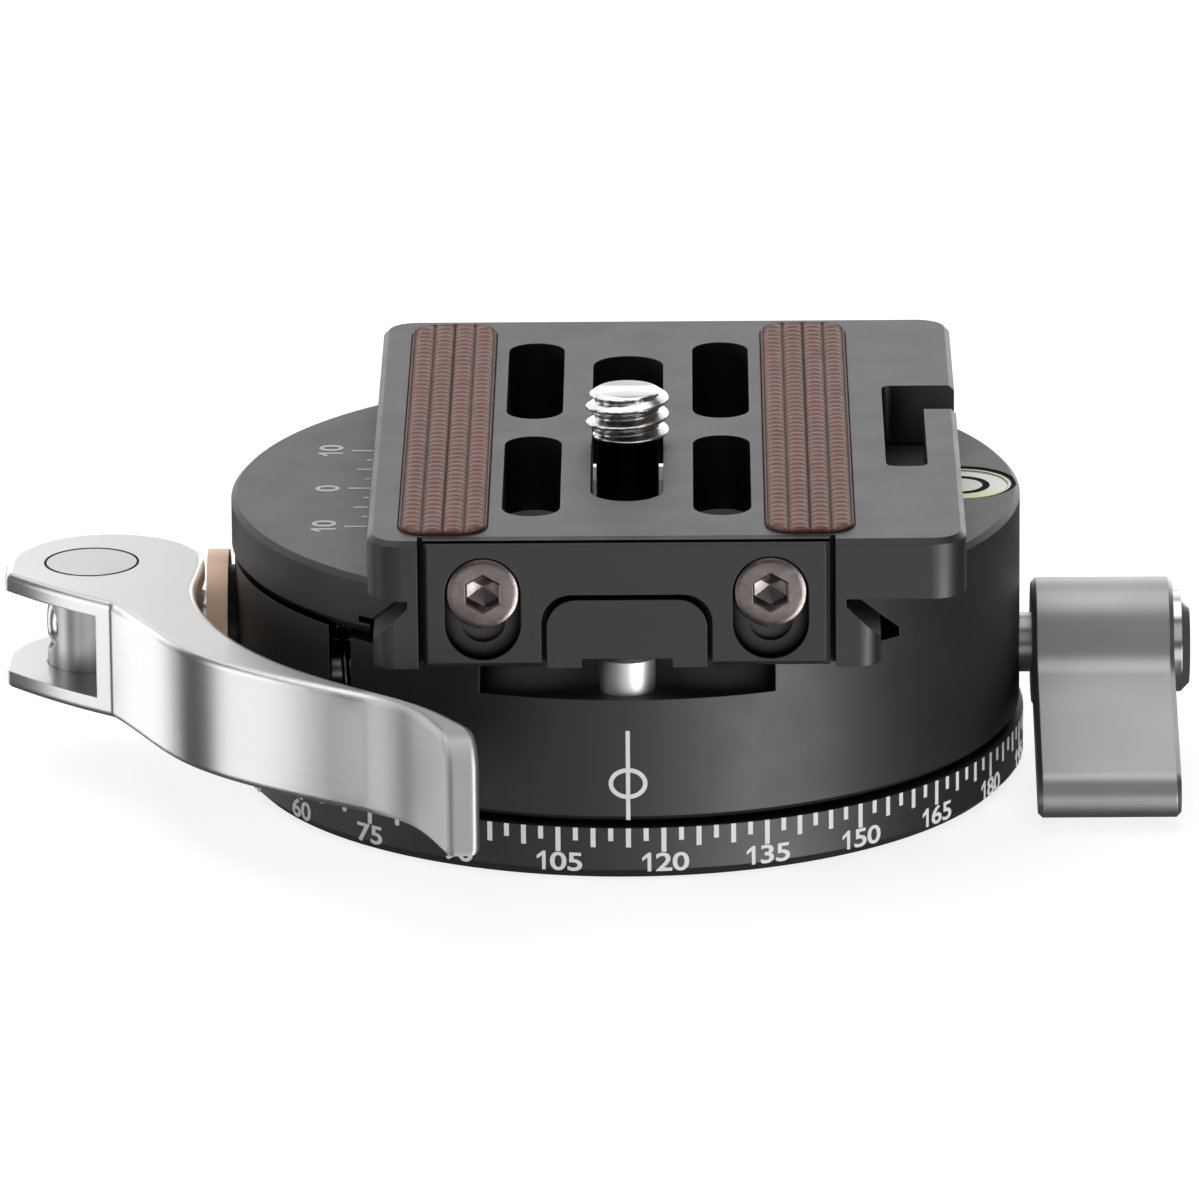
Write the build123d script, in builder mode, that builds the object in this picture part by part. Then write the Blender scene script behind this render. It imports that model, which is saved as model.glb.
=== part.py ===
from build123d import *
import os
from math import cos, radians, sin, sqrt

os.makedirs("parts", exist_ok=True)

# Panning clamp for a camera plate. Millimetres, Z up.
# Origin: centre of the base's bottom face. The moving jaw and its lever are at -X, the fixed jaw and
# the pan lock knob at +X, and the plate slides along Y.

# Clearances
run_gap = 0.05
slack = 0.3
seat_gap = 0.1

# Dovetail: the plate's flange and the jaws that hold it
flange_width = 38.0
flange_h = 2.1
dovetail_depth = 2.6
jaw_gap = 0.05
nose_land = 0.5
root_depth = 1.43

# Body: drum that turns on the hub. Its rim stands out beyond the flange's edge
dial_gap = 0.45
rim_wall = 11.2
body_edge = 0.4
floor_z = 16.5
channel_h = 5.1
relief_depth = 2.4
relief_half_width = 11.1
jaw_cut_gap = 1.9
jaw_shelf_h = 1.45

# Base: graduated disc with its hub
base_lip = 0.3
base_h = 4.1
base_chamfer = 0.8
hub_r = 9.0
tripod_hole_r = 4.0
tripod_hole_depth = 9.5

# Glide ring between base and body
glide_inner_r = 12.0
glide_outer_r = 22.0

# Retaining disc, its screws, and the cap that closes the bore above them
disc_lip = 1.3
disc_h = 1.2
disc_top_gap = 0.25
cap_seat = 0.4
cap_h = 0.85
disc_screw_r = 1.25
disc_screw_head_r = 2.2
disc_screw_circle_r = 6.4
disc_screw_count = 4
disc_screw_length = 5.5
disc_screw_socket_r = 0.9
disc_screw_socket_depth = 0.6

# Moving jaw
jaw_offset = 0.4
jaw_slab_lift = 0.5
jaw_slab_chamfer = 0.8
jaw_block_inset = 0.2
jaw_block_setback = 1.7
jaw_block_gap = 0.2
jaw_notch_gap = 1.2
jaw_notch_h = 0.5
jaw_foot_h = 1.05
jaw_foot_gap = 0.35

# Lever, its barrel pin, the tie rod and the pad that the cam presses
lever_z = 11.15
lever_h = 9.3
lever_edge_r = 0.55
cam_offset = 1.1
cam_r = 7.65
barrel_r = 3.55
fork_slot_h = 6.5
fork_wall_offset = 0.7
fork_side_y = -2.75
tie_rod_r = 2.4
tie_rod_reach = 3.5
tie_rod_end_r = 1.7
tie_rod_edge = 0.3
tie_rod_depth = 7.1
cam_gap = 0.25
pad_r = 5.4
pad_t = 1.65
pad_boss_r = 4.2
pad_boss_h = 0.45

# The lever's outline in plan, from the cam's nose at Y 0: the inner side from the head to the tip,
# and the outer side
lever_inner_points = [
    (-0.45, -6.5),
    (1.75, -16.6),
    (8.15, -27.1),
    (14.35, -33.0),
    (18.6, -37.3),
    (20.8, -40.7),
    (21.95, -44.3),
]
lever_outer_points = [
    (-6.85, -10.6),
    (-4.25, -15.8),
    (-0.95, -22.0),
    (5.25, -28.3),
    (12.25, -33.3),
    (15.85, -36.2),
    (18.05, -40.3),
    (19.55, -44.5),
]
lever_corner_y = -2.7
lever_corner_r = 0.8
lever_elbow_r = 1.2
lever_side_bulge = 0.32
lever_end_top_r = 2.5
lever_end_bottom_r = 0.8
lever_tip_direction = (0.2, -0.97)

# Guide pins and return springs of the moving jaw
guide_r = 2.0
guide_y = 12.0
guide_in_jaw = 3.7
guide_in_body = 7.7
spring_wire_r = 0.3
spring_turns = 4
return_spring_gap = 0.45
return_spring_depth = 3.0

# Pan lock: knob, spindle and brake shoe
knob_z = 8.85
knob_gap = 0.9
knob_length = 10.9
knob_hub_r = 5.0
knob_tip_r = 1.9
knob_reach = 19.0
knob_droop = 70.5
knob_neck_r = 3.5
knob_edge = 0.35
spindle_r = 2.3
spindle_depth = 12.4
spindle_in_knob = 5.0
shoe_gap = 0.25
knob_cap_r = 3.9
knob_cap_h = 1.3
knob_cap_edge = 0.65
knob_cap_screw_r = 1.5
knob_cap_screw_length = 5.0

# Stop pin
stop_pin_r = 2.1
stop_pin_inset = 3.1
stop_pin_proud = 0.45
stop_pin_flange = 0.3
stop_pin_flange_h = 1.2
stop_pin_collar_h = 2.1
stop_pin_edge = 0.3
stop_spring_gap = 0.15
stop_plug_h = 1.0

# Spirit level
level_rim_wall = 0.3
level_y = 0.6
level_r = 4.3
level_depth = 4.1
level_wall = 0.6
level_floor = 0.5
level_lens_h = 0.8
level_rim = 0.1
level_bubble_r = 1.1
level_bubble_h = 0.7
level_bubble_edge = 0.3

# Plate
plate_length = 59.4
plate_t = 4.65
plate_lip = 0.4
wing_width = 6.4
plate_under_gap = 0.15
plate_corner_r = 2.6
plate_edge = 0.4
flange_corner_r = 1.6
slot_width = 4.4
slot_x = 7.2
slot_inner_y = 2.35
slot_outer_y = 23.2
centre_slot_length = 39.0
recess_half_width = 9.9
recess_length = 46.0
recess_depth = 4.0
strap_bar = 2.5
strap_slot_width = 3.2
strap_slot_length = 21.6
strap_entry_width = 6.4
strap_slot_corner = 0.8
pin_notch_width = 6.8
pin_notch_depth = 0.7
pin_notch_gap = 0.4

# Rubber strips on the plate
strip_width = 6.7
strip_x = 13.75
strip_end_gap = 1.7
strip_corner_r = 2.3
strip_proud = 0.45
strip_sunk = 0.4
strip_edge = 0.2

# Anti-twist flap and its screws
flap_side = 1.2
flap_t = 1.25
flap_seam = 0.4
flap_back_gap = 0.05
flap_foot_gap = 0.1
flap_edge = 0.35
flap_post_width = 8.8
flap_window_h = 5.7
flap_window_r = 2.2
flap_screw_inset = 4.45
flap_screw_drop = 4.1
flap_slot_width = 5.7
flap_travel = 2.3
flap_counterbore = 0.75
flap_screw_head_r = 2.75
flap_screw_r = 1.5
flap_screw_length = 6.2
flap_screw_edge = 0.15
flap_socket_flats = 2.2
flap_socket_depth = 0.5

# Camera screw, its head and its slider
screw_y = -3.5
screw_r = 3.175
screw_neck_r = 2.4
screw_slot_gap = 0.35
screw_proud = 4.1
screw_chamfer = 0.8
screw_head_r = 4.9
screw_head_h = 2.6
coin_slot_width = 1.4
coin_slot_depth = 1.0
slider_half_width = 4.9
slider_length = 9.0
slider_plate_h = 0.65
slider_tongue_h = 1.5
slider_tongue_length = 8.0

# Heights, from the channel's floor down to the hub and up to the plate
relief_z = floor_z - relief_depth
body_top = floor_z + channel_h
body_bottom = base_h + dial_gap
cap_z = relief_z - cap_h
disc_top = cap_z - disc_top_gap
hub_top = disc_top - disc_h
flange_bore_top = hub_top - seat_gap
jaw_cut_z = body_bottom + jaw_shelf_h
plate_under = body_top + plate_under_gap
plate_top = plate_under + plate_t

# Dovetail faces
flange_half = flange_width / 2
neck_half = flange_half - dovetail_depth
flange_top_z = floor_z + flange_h
neck_z = flange_top_z + dovetail_depth
jaw_face_x = flange_half + jaw_gap * sqrt(2)
jaw_nose_z = body_top - nose_land
nose_x = jaw_face_x - (jaw_nose_z - flange_top_z)
root_x = jaw_face_x + root_depth
root_z = flange_top_z - root_depth

# Radii of the drum, the base and the pieces on the hub
body_r = flange_half + rim_wall
base_r = body_r + base_lip
disc_r = hub_r + disc_lip
disc_bore_r = disc_r + slack
cap_r = disc_bore_r + cap_seat

# Moving jaw, and the line from it out to the lever's pivot
jaw_cut_x = -(flange_half + jaw_cut_gap)
jaw_block_x = jaw_cut_x - jaw_block_setback
jaw_block_r = body_r - jaw_block_inset
jaw_block_z = jaw_cut_z + jaw_block_gap
jaw_block_mid_x = (jaw_block_x - jaw_offset - jaw_block_r) / 2
slab_z = floor_z + jaw_slab_lift
jaw_foot_z = slab_z + jaw_foot_h
jaw_foot_x = flange_half + jaw_foot_gap
jaw_notch_x = -(flange_half + jaw_notch_gap)
notch_top_z = jaw_foot_z + jaw_notch_h
notch_face_x = jaw_face_x + flange_top_z - notch_top_z
pad_back_x = -(jaw_offset + jaw_block_r + pad_boss_h)
pad_face_x = pad_back_x - pad_t
cam_nose_x = pad_face_x - cam_gap
cam_x = cam_nose_x - cam_r
pivot_x = cam_x - cam_offset
fork_wall_x = pivot_x + fork_wall_offset
lever_bottom = lever_z - lever_h / 2
lever_top = lever_bottom + lever_h
lever_inner = [(cam_nose_x + x, y) for x, y in lever_inner_points]
lever_outer = [(cam_nose_x + x, y) for x, y in lever_outer_points]
lever_corner = (cam_x - cam_r, lever_corner_y)
tie_rod_tip_x = pivot_x - tie_rod_reach
tie_rod_root_x = jaw_cut_x + tie_rod_depth
guide_outer_x = jaw_block_x - guide_in_jaw
guide_inner_x = jaw_cut_x + guide_in_body
return_spring_r = guide_r + return_spring_gap + spring_wire_r

# Plate, strips, flap and screws
plate_half = plate_length / 2
front_y = -plate_half
plate_left_x = -(flange_half + plate_lip)
plate_right_x = flange_half + wing_width
plate_width = plate_right_x - plate_left_x
plate_mid_x = (plate_right_x + plate_left_x) / 2
strap_slot_x = plate_right_x - strap_bar - strap_slot_width
strip_length = plate_length - 2 * strip_end_gap
strip_seat_width = strip_width + 2 * run_gap
strip_seat_length = strip_length + 2 * run_gap
recess_top = floor_z + recess_depth
centre_slot_width = 2 * (screw_neck_r + screw_slot_gap)
slot_mid_y = (slot_inner_y + slot_outer_y) / 2
slot_places = [(side * slot_x, end * slot_mid_y) for side in (-1, 1) for end in (-1, 1)]
flap_width = 2 * (neck_half - flap_side)
flap_window_width = flap_width - 2 * flap_post_width
flap_screw_x = flap_width / 2 - flap_screw_inset
flap_screw_z = plate_top - flap_screw_drop
flap_back_y = front_y + flap_t
recess_back_y = flap_back_y + flap_back_gap
flap_head_back = plate_half - flap_counterbore + seat_gap / 2
flap_screw_head_h = flap_counterbore - seat_gap
flap_neck_width = 2 * flap_screw_r + slack
flap_slot_places = [(side * flap_screw_x, flap_screw_z - flap_travel / 2) for side in (-1, 1)]
slider_z = recess_top - run_gap - slider_plate_h
screw_head_z = slider_z - run_gap - screw_head_h
screw_neck_z = screw_head_z + coin_slot_depth + run_gap
screw_thread_z = plate_top + slack
screw_top = plate_top + screw_proud

# Stop pin in the body's rim, and its notch in the plate
stop_pin_y = -(body_r - stop_pin_inset)
stop_pin_top = floor_z + stop_pin_proud
stop_pin_step_z = relief_z - stop_pin_collar_h
stop_pin_flange_z = stop_pin_step_z - seat_gap - stop_pin_flange_h
stop_pin_flange_r = stop_pin_r + stop_pin_flange
stop_spring_r = stop_pin_flange_r - stop_spring_gap - spring_wire_r
pin_notch_length = stop_pin_y + stop_pin_r + pin_notch_gap - front_y

# Spirit level
level_x = body_r - level_rim_wall - level_r
level_inner_r = level_r - level_wall
level_foot = body_top - level_depth + run_gap
level_top = body_top - level_rim
level_lens_z = level_top - level_rim - level_lens_h

# Pan lock
knob_x = body_r + knob_gap
spindle_inner_x = body_r - spindle_depth
knob_tip_y = -knob_reach * sin(radians(knob_droop))
knob_tip_z = knob_z - knob_reach * cos(radians(knob_droop))
knob_side_y = -knob_tip_r * cos(radians(knob_droop))
knob_side_z = knob_tip_r * sin(radians(knob_droop))

# Beyond the whole part, for cuts that run right through
outside = 100.0


# Base
with BuildPart() as base:
    with BuildSketch():
        Circle(base_r)
    extrude(amount=base_h)
    chamfer(base.faces().sort_by(Axis.Z)[0].edges(), base_chamfer)
    with BuildSketch(Plane.XY.offset(base_h)):
        Circle(hub_r)
    extrude(amount=hub_top - base_h)
    with BuildSketch():
        Circle(tripod_hole_r)
    extrude(amount=tripod_hole_depth, mode=Mode.SUBTRACT)
    with BuildSketch(Plane.XY.offset(hub_top)):
        with PolarLocations(disc_screw_circle_r, disc_screw_count):
            Circle(disc_screw_r + run_gap)
    extrude(amount=-disc_screw_length, mode=Mode.SUBTRACT)
base.part.label = "base"
export_step(base.part, "parts/base.step")

# Glide ring
with BuildPart() as glide_washer:
    with BuildSketch(Plane.XY.offset(base_h)):
        Circle(glide_outer_r)
        Circle(glide_inner_r, mode=Mode.SUBTRACT)
    extrude(amount=dial_gap)
glide_washer.part.label = "glide_washer"
export_step(glide_washer.part, "parts/glide_washer.step")

# Retaining disc on the hub
with BuildPart() as retaining_disc:
    with BuildSketch(Plane.XY.offset(hub_top)):
        Circle(disc_r)
    extrude(amount=disc_h)
    with Locations(Plane.XY.offset(disc_top)):
        with PolarLocations(disc_screw_circle_r, disc_screw_count):
            CounterSinkHole(disc_screw_r + run_gap, disc_screw_head_r + run_gap)
retaining_disc.part.label = "retaining_disc"
export_step(retaining_disc.part, "parts/retaining_disc.step")

# Four countersunk screws
with BuildPart() as disc_screws:
    with BuildSketch(Plane.XY.offset(disc_top)):
        with PolarLocations(disc_screw_circle_r, disc_screw_count):
            Circle(disc_screw_r)
    extrude(amount=-(disc_h + disc_screw_length - slack))
    with BuildSketch(Plane.XY.offset(disc_top)):
        with PolarLocations(disc_screw_circle_r, disc_screw_count):
            Circle(disc_screw_head_r)
    extrude(amount=disc_screw_r - disc_screw_head_r, taper=45)
    with BuildSketch(Plane.XY.offset(disc_top)):
        with PolarLocations(disc_screw_circle_r, disc_screw_count):
            RegularPolygon(disc_screw_socket_r, 6)
    extrude(amount=-disc_screw_socket_depth, mode=Mode.SUBTRACT)
disc_screws.part.label = "disc_screws"
export_step(disc_screws.part, "parts/disc_screws.step")

# Body with the fixed jaw
with BuildPart() as pan_body:
    with BuildSketch(Plane.XY.offset(body_bottom)):
        Circle(body_r)
    extrude(amount=body_top - body_bottom)
    chamfer(pan_body.edges().filter_by(GeomType.CIRCLE), body_edge)
    # The channel for the plate, and the flat cut that makes room for the moving jaw
    with BuildSketch(Plane.XZ):
        Polygon(
            (nose_x, outside),
            (nose_x, jaw_nose_z),
            (root_x, root_z),
            (root_x, floor_z),
            (jaw_cut_x, floor_z),
            (jaw_cut_x, jaw_cut_z),
            (-outside, jaw_cut_z),
            (-outside, outside),
            align=None,
        )
    extrude(amount=outside, both=True, mode=Mode.SUBTRACT)
    with BuildSketch(Plane.XY.offset(relief_z)):
        Rectangle(2 * relief_half_width, outside)
    extrude(amount=relief_depth, mode=Mode.SUBTRACT)
    # The stepped bore for the hub, the retaining disc and the cap
    with BuildSketch(Plane.XY.offset(body_bottom)):
        Circle(hub_r + run_gap)
    extrude(amount=flange_bore_top - body_bottom, mode=Mode.SUBTRACT)
    with BuildSketch(Plane.XY.offset(flange_bore_top)):
        Circle(disc_bore_r)
    extrude(amount=cap_z - flange_bore_top, mode=Mode.SUBTRACT)
    with BuildSketch(Plane.XY.offset(cap_z)):
        Circle(cap_r + run_gap)
    extrude(amount=cap_h, mode=Mode.SUBTRACT)
    # The bore for the lock spindle and its brake shoe
    with BuildSketch(Plane.YZ):
        with Locations((0, knob_z)):
            Circle(spindle_r + run_gap)
    extrude(amount=outside, mode=Mode.SUBTRACT)
    # Holes behind the moving jaw for the guide pins, their springs and the tie rod
    with BuildSketch(Plane.YZ.offset(jaw_cut_x)):
        with Locations((-guide_y, lever_z), (guide_y, lever_z)):
            Circle(guide_r + run_gap)
    extrude(amount=guide_inner_x + slack - jaw_cut_x, mode=Mode.SUBTRACT)
    with BuildSketch(Plane.YZ.offset(jaw_cut_x)):
        with Locations((-guide_y, lever_z), (guide_y, lever_z)):
            Circle(return_spring_r + spring_wire_r + slack)
    extrude(amount=return_spring_depth, mode=Mode.SUBTRACT)
    with BuildSketch(Plane.YZ.offset(jaw_cut_x)):
        with Locations((0, lever_z)):
            Circle(tie_rod_r + run_gap)
    extrude(amount=tie_rod_root_x + slack - jaw_cut_x, mode=Mode.SUBTRACT)
    # The stop pin's bore, wider below its step
    with BuildSketch(Plane.XY.offset(relief_z)):
        with Locations((0, stop_pin_y)):
            Circle(stop_pin_r + run_gap)
    extrude(amount=stop_pin_step_z - relief_z, mode=Mode.SUBTRACT)
    with BuildSketch(Plane.XY.offset(stop_pin_step_z)):
        with Locations((0, stop_pin_y)):
            Circle(stop_pin_flange_r + run_gap)
    extrude(amount=body_bottom - stop_pin_step_z, mode=Mode.SUBTRACT)
    # The spirit level's pocket
    with BuildSketch(Plane.XY.offset(body_top)):
        with Locations((level_x, level_y)):
            Circle(level_r + run_gap)
    extrude(amount=-level_depth, mode=Mode.SUBTRACT)
pan_body.part.label = "pan_body"
export_step(pan_body.part, "parts/pan_body.step")

# Cap over the retaining disc
with BuildPart() as hub_cap:
    with BuildSketch(Plane.XY.offset(cap_z)):
        Circle(cap_r)
    extrude(amount=cap_h)
hub_cap.part.label = "hub_cap"
export_step(hub_cap.part, "parts/hub_cap.step")

# Moving jaw
with BuildPart() as moving_jaw:
    with BuildSketch(Plane.XY.offset(slab_z)):
        with Locations((-jaw_offset, 0)):
            Circle(body_r)
    extrude(amount=body_top - slab_z)
    chamfer(moving_jaw.faces().sort_by(Axis.Z)[-1].edges(), body_edge)
    chamfer(moving_jaw.faces().sort_by(Axis.Z)[0].edges(), jaw_slab_chamfer)
    # The dovetail face, with a small notch at its root
    with BuildSketch(Plane.XZ):
        Polygon(
            (-nose_x, outside),
            (-nose_x, jaw_nose_z),
            (-notch_face_x, notch_top_z),
            (jaw_notch_x, notch_top_z),
            (jaw_notch_x, jaw_foot_z),
            (-jaw_foot_x, jaw_foot_z),
            (-jaw_foot_x, -outside),
            (outside, -outside),
            (outside, outside),
            align=None,
        )
    extrude(amount=outside, both=True, mode=Mode.SUBTRACT)
    # The block below the slab
    with BuildSketch(Plane.XY.offset(jaw_block_z)):
        with Locations((-jaw_offset, 0)):
            Circle(jaw_block_r)
        with Locations((jaw_block_x, 0)):
            Rectangle(outside, outside, align=(Align.MIN, Align.CENTER), mode=Mode.SUBTRACT)
    extrude(amount=slab_z - jaw_block_z)
    # The boss that the cam pad bears on
    with BuildSketch(Plane.YZ.offset(pad_back_x)):
        with Locations((0, lever_z)):
            Circle(pad_boss_r)
    extrude(amount=jaw_block_mid_x - pad_back_x)
    # Holes for the guide pins and the tie rod
    with BuildSketch(Plane.YZ.offset(jaw_block_x)):
        with Locations((-guide_y, lever_z), (guide_y, lever_z)):
            Circle(guide_r + run_gap)
    extrude(amount=guide_outer_x - run_gap - jaw_block_x, mode=Mode.SUBTRACT)
    with BuildSketch(Plane.YZ.offset(jaw_block_x)):
        with Locations((0, lever_z)):
            Circle(tie_rod_r + slack)
    extrude(amount=-outside, mode=Mode.SUBTRACT)
moving_jaw.part.label = "moving_jaw"
export_step(moving_jaw.part, "parts/moving_jaw.step")

# Guide pins
with BuildPart() as guide_pins:
    with BuildSketch(Plane.YZ.offset(guide_outer_x)):
        with Locations((-guide_y, lever_z), (guide_y, lever_z)):
            Circle(guide_r)
    extrude(amount=guide_inner_x - guide_outer_x)
guide_pins.part.label = "guide_pins"
export_step(guide_pins.part, "parts/guide_pins.step")

# Return springs round the guide pins
with BuildPart() as return_springs:
    return_spring_start = jaw_cut_x + return_spring_depth - spring_wire_r - run_gap
    return_spring_end = jaw_block_x + spring_wire_r + run_gap
    return_spring_length = return_spring_start - return_spring_end
    for side in (-1, 1):
        with BuildLine() as coil:
            Helix(
                pitch=return_spring_length / spring_turns,
                height=return_spring_length,
                radius=return_spring_r,
                center=(return_spring_start, side * guide_y, lever_z),
                direction=(-1, 0, 0),
            )
        with BuildSketch(Plane(origin=coil.line @ 0, z_dir=coil.line % 0)):
            Circle(spring_wire_r)
        sweep(path=coil.line)
return_springs.part.label = "return_springs"
export_step(return_springs.part, "parts/return_springs.step")

# Tie rod
with BuildPart() as tie_rod:
    with BuildSketch(Plane.YZ.offset(tie_rod_tip_x)):
        with Locations((0, lever_z)):
            Circle(tie_rod_r)
    extrude(amount=tie_rod_root_x - tie_rod_tip_x)
    tie_rod_ends = tie_rod.edges().filter_by(GeomType.CIRCLE).sort_by(Axis.X)
    chamfer(tie_rod_ends[-1], tie_rod_edge)
    fillet(tie_rod_ends[0], tie_rod_end_r)
tie_rod.part.label = "tie_rod"
export_step(tie_rod.part, "parts/tie_rod.step")

# Barrel pin in the lever's fork
with BuildPart() as lever_pin:
    with BuildSketch(Plane.XY.offset(lever_bottom)):
        with Locations((pivot_x, 0)):
            Circle(barrel_r)
    extrude(amount=lever_h)
    with BuildSketch(Plane.YZ.offset(pivot_x)):
        with Locations((0, lever_z)):
            Circle(tie_rod_r + run_gap)
    extrude(amount=outside, both=True, mode=Mode.SUBTRACT)
lever_pin.part.label = "lever_pin"
export_step(lever_pin.part, "parts/lever_pin.step")

# Cam pad
with BuildPart() as cam_pad:
    with BuildSketch(Plane.YZ.offset(pad_face_x)):
        with Locations((0, lever_z)):
            Circle(pad_r)
            Circle(tie_rod_r + slack, mode=Mode.SUBTRACT)
    extrude(amount=pad_t)
cam_pad.part.label = "cam_pad"
export_step(cam_pad.part, "parts/cam_pad.step")

# Clamp lever: round cam head and a handle that follows the body's curve
with BuildPart() as clamp_lever:
    with BuildSketch(Plane.XY.offset(lever_bottom)) as lever_outline:
        with BuildLine():
            head_left = (cam_x - cam_r, 0)
            head_right = (cam_nose_x, 0)
            ThreePointArc(head_left, (cam_x, cam_r), head_right)
            Spline(head_right, *lever_inner, tangents=[(0, -1), lever_tip_direction])
            Line(lever_inner[-1], lever_outer[-1])
            Spline(*lever_outer)
            SagittaArc(lever_outer[0], lever_corner, lever_side_bulge)
            Line(lever_corner, head_left)
        make_face()
        lever_corners = lever_outline.vertices()
        fillet(lever_corners.sort_by_distance((*lever_outer[0], lever_bottom))[0], lever_elbow_r)
        lever_corners = lever_outline.vertices()
        fillet(lever_corners.sort_by_distance((*lever_corner, lever_bottom))[0], lever_corner_r)
    extrude(amount=lever_h)
    # Rounding of the tip's two level edges, then of the one smooth edge that runs all round
    lever_end = (Vector(*lever_inner[-1]) + Vector(*lever_outer[-1])) / 2
    fillet(clamp_lever.edges().sort_by_distance(lever_end + (0, 0, lever_top))[0], lever_end_top_r)
    fillet(clamp_lever.edges().sort_by_distance(lever_end + (0, 0, lever_bottom))[0], lever_end_bottom_r)
    fillet(clamp_lever.edges().sort_by_distance((*lever_outer[1], lever_top))[0], lever_edge_r)
    # The slot between the two prongs, clear of the tie rod through the whole swing
    with BuildSketch(Plane.XY.offset(lever_z - fork_slot_h / 2)):
        with Locations((pivot_x, 0)):
            Circle(sqrt((pivot_x - tie_rod_tip_x) ** 2 + tie_rod_r**2) + slack)
        with Locations((fork_wall_x, 0)):
            Rectangle(outside, outside, align=(Align.MAX, Align.CENTER))
        with Locations((cam_x, fork_side_y)):
            Rectangle(outside, outside, align=(Align.CENTER, Align.MIN))
    extrude(amount=fork_slot_h, mode=Mode.SUBTRACT)
    with BuildSketch(Plane.XY.offset(lever_bottom)):
        with Locations((pivot_x, 0)):
            Circle(barrel_r + run_gap)
    extrude(amount=lever_h, mode=Mode.SUBTRACT)
clamp_lever.part.label = "clamp_lever"
export_step(clamp_lever.part, "parts/clamp_lever.step")

# Pan lock knob: round hub with one wing
with BuildPart() as pan_knob:
    with BuildSketch(Plane.YZ.offset(knob_x)) as knob_profile:
        with Locations((0, knob_z)):
            Circle(knob_hub_r)
        with Locations((knob_tip_y, knob_tip_z)):
            Circle(knob_tip_r)
        Polygon(
            (knob_side_y, knob_z + knob_side_z),
            (knob_tip_y + knob_side_y, knob_tip_z + knob_side_z),
            (knob_tip_y - knob_side_y, knob_tip_z - knob_side_z),
            (-knob_side_y, knob_z - knob_side_z),
            align=None,
        )
        fillet(knob_profile.vertices().sort_by_distance((knob_x, 0, knob_z))[:2], knob_neck_r)
    extrude(amount=knob_length)
    chamfer(pan_knob.faces().sort_by(Axis.X)[0].edges(), knob_edge)
    chamfer(pan_knob.faces().sort_by(Axis.X)[-1].edges(), knob_edge)
    with BuildSketch(Plane.YZ.offset(knob_x)):
        with Locations((0, knob_z)):
            Circle(spindle_r + run_gap)
    extrude(amount=spindle_in_knob, mode=Mode.SUBTRACT)
    with BuildSketch(Plane.YZ.offset(knob_x + knob_length)):
        with Locations((0, knob_z)):
            Circle(knob_cap_screw_r + run_gap)
    extrude(amount=-knob_cap_screw_length, mode=Mode.SUBTRACT)
pan_knob.part.label = "pan_knob"
export_step(pan_knob.part, "parts/pan_knob.step")

# Screw with a domed head that closes the knob's outer end
with BuildPart() as knob_cap_screw:
    with BuildSketch(Plane.YZ.offset(knob_x + knob_length)):
        with Locations((0, knob_z)):
            Circle(knob_cap_r)
    extrude(amount=knob_cap_h)
    chamfer(knob_cap_screw.faces().sort_by(Axis.X)[-1].edges(), knob_cap_edge)
    with BuildSketch(Plane.YZ.offset(knob_x + knob_length)):
        with Locations((0, knob_z)):
            Circle(knob_cap_screw_r)
    extrude(amount=slack - knob_cap_screw_length)
knob_cap_screw.part.label = "knob_cap_screw"
export_step(knob_cap_screw.part, "parts/knob_cap_screw.step")

# Lock spindle
with BuildPart() as lock_spindle:
    with BuildSketch(Plane.YZ.offset(spindle_inner_x)):
        with Locations((0, knob_z)):
            Circle(spindle_r)
    extrude(amount=knob_x + spindle_in_knob - seat_gap - spindle_inner_x)
lock_spindle.part.label = "lock_spindle"
export_step(lock_spindle.part, "parts/lock_spindle.step")

# Brake shoe, hollowed to the hub's curve
with BuildPart() as brake_shoe:
    with BuildSketch(Plane.YZ):
        with Locations((0, knob_z)):
            Circle(spindle_r)
    extrude(amount=spindle_inner_x)
    with BuildSketch():
        Circle(hub_r + shoe_gap)
    extrude(amount=outside, mode=Mode.SUBTRACT)
brake_shoe.part.label = "brake_shoe"
export_step(brake_shoe.part, "parts/brake_shoe.step")

# Stop pin with a flange that keeps it in
with BuildPart() as stop_pin:
    with BuildSketch(Plane.XY.offset(stop_pin_flange_z)):
        with Locations((0, stop_pin_y)):
            Circle(stop_pin_flange_r)
    extrude(amount=stop_pin_flange_h)
    with BuildSketch(Plane.XY.offset(stop_pin_flange_z)):
        with Locations((0, stop_pin_y)):
            Circle(stop_pin_r)
    extrude(amount=stop_pin_top - stop_pin_flange_z)
    chamfer(stop_pin.faces().sort_by(Axis.Z)[-1].edges(), stop_pin_edge)
stop_pin.part.label = "stop_pin"
export_step(stop_pin.part, "parts/stop_pin.step")

# Plug that closes the stop pin's bore
with BuildPart() as stop_pin_plug:
    with BuildSketch(Plane.XY.offset(body_bottom)):
        with Locations((0, stop_pin_y)):
            Circle(stop_pin_flange_r)
    extrude(amount=stop_plug_h)
stop_pin_plug.part.label = "stop_pin_plug"
export_step(stop_pin_plug.part, "parts/stop_pin_plug.step")

# Spring between the plug and the pin
with BuildPart() as stop_pin_spring:
    stop_spring_foot = body_bottom + stop_plug_h + spring_wire_r + run_gap
    stop_spring_length = stop_pin_flange_z - spring_wire_r - run_gap - stop_spring_foot
    with BuildLine() as stop_coil:
        Helix(
            pitch=stop_spring_length / spring_turns,
            height=stop_spring_length,
            radius=stop_spring_r,
            center=(0, stop_pin_y, stop_spring_foot),
        )
    with BuildSketch(Plane(origin=stop_coil.line @ 0, z_dir=stop_coil.line % 0)):
        Circle(spring_wire_r)
    sweep(path=stop_coil.line)
stop_pin_spring.part.label = "stop_pin_spring"
export_step(stop_pin_spring.part, "parts/stop_pin_spring.step")

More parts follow.
